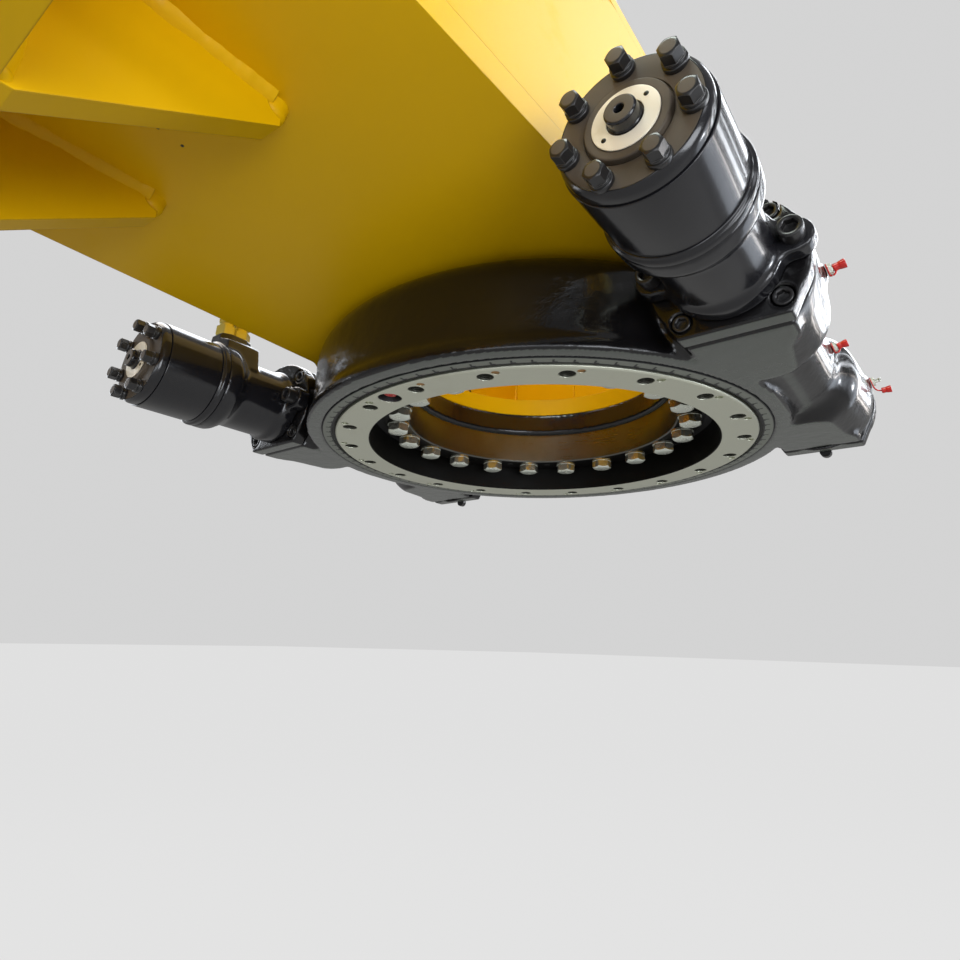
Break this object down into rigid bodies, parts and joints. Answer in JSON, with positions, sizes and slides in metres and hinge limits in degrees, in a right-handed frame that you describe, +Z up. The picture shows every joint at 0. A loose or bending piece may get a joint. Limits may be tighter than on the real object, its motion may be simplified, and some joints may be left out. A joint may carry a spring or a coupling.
{
  "type": "twin worm slewing drive on its carrier frame",
  "caption": "Steering unit of a tyred gantry crane: a ring turned by two worm gears with hydraulic motors, bolted under a welded steel carrier beam.",
  "frame": {"origin": "centre of the slewing ring, on the ring's lower face", "axes": "+Z up along the steering axis; both motors point along -Y; the worm axes lie at +X and -X"},
  "size_m": [0.7334, 0.906, 0.3995],
  "materials": {
    "ring_steel": "machined and lightly oiled",
    "bore_steel": "machined bore with a brown oil film",
    "zinc": "zinc plated",
    "seal_rubber": "matte black",
    "retainer_paint": "matte grey",
    "housing_paint": "glossy charcoal over rough casting",
    "motor_paint": "semi-gloss black",
    "bolt_black": "black painted bolt",
    "label_metal": "bare cream plate",
    "yellow_paint": "yellow gloss paint",
    "brass": "yellow passivated fitting",
    "red_plastic": "soft red cap"
  },
  "bodies": {
    "frame": {"inner_ring": "bore_steel", "inner_bolts": "zinc", "inner_washers": "zinc", "gear_housing": "housing_paint", "outer_seal": "seal_rubber", "seal_retainer": "retainer_paint", "adapter_right": "housing_paint", "adapter_left": "housing_paint", "end_cap_right": "housing_paint", "end_cap_left": "housing_paint", "adapter_screws_right": "bolt_black", "adapter_screws_left": "bolt_black", "cap_screws_right": "bolt_black", "cap_screws_left": "bolt_black", "motor_body_right": "motor_paint", "motor_body_left": "motor_paint", "motor_spacer_right": "motor_paint", "motor_spacer_left": "motor_paint", "motor_gear_right": "motor_paint", "motor_gear_left": "motor_paint", "motor_cover_right": "motor_paint", "motor_cover_left": "motor_paint", "motor_bolts_right": "bolt_black", "motor_bolts_left": "bolt_black", "motor_ring_right": "label_metal", "motor_ring_left": "label_metal", "motor_plug_right": "motor_paint", "motor_plug_left": "motor_paint", "motor_screws_right": "bolt_black", "motor_screws_left": "bolt_black", "port_fittings_right": "brass", "port_fittings_left": "brass", "grease_nipples_right": "zinc", "grease_nipples_left": "zinc", "nipple_caps_right": "red_plastic", "nipple_caps_left": "red_plastic", "carrier_plate": "yellow_paint", "side_wall_right": "yellow_paint", "side_wall_left": "yellow_paint", "rear_wall": "yellow_paint", "end_wall": "yellow_paint", "gusset_right": "yellow_paint", "gusset_left": "yellow_paint", "top_flange": "yellow_paint"},
    "ring": {"slew_ring": "ring_steel", "ring_seal": "seal_rubber", "ring_plug": "red_plastic"}
  },
  "joints": [
    {"name": "steer", "type": "hinge", "parent": "frame", "child": "ring", "pos_m": [0, 0, 0], "axis": [0, 0, 1], "continuous": true}
  ]
}
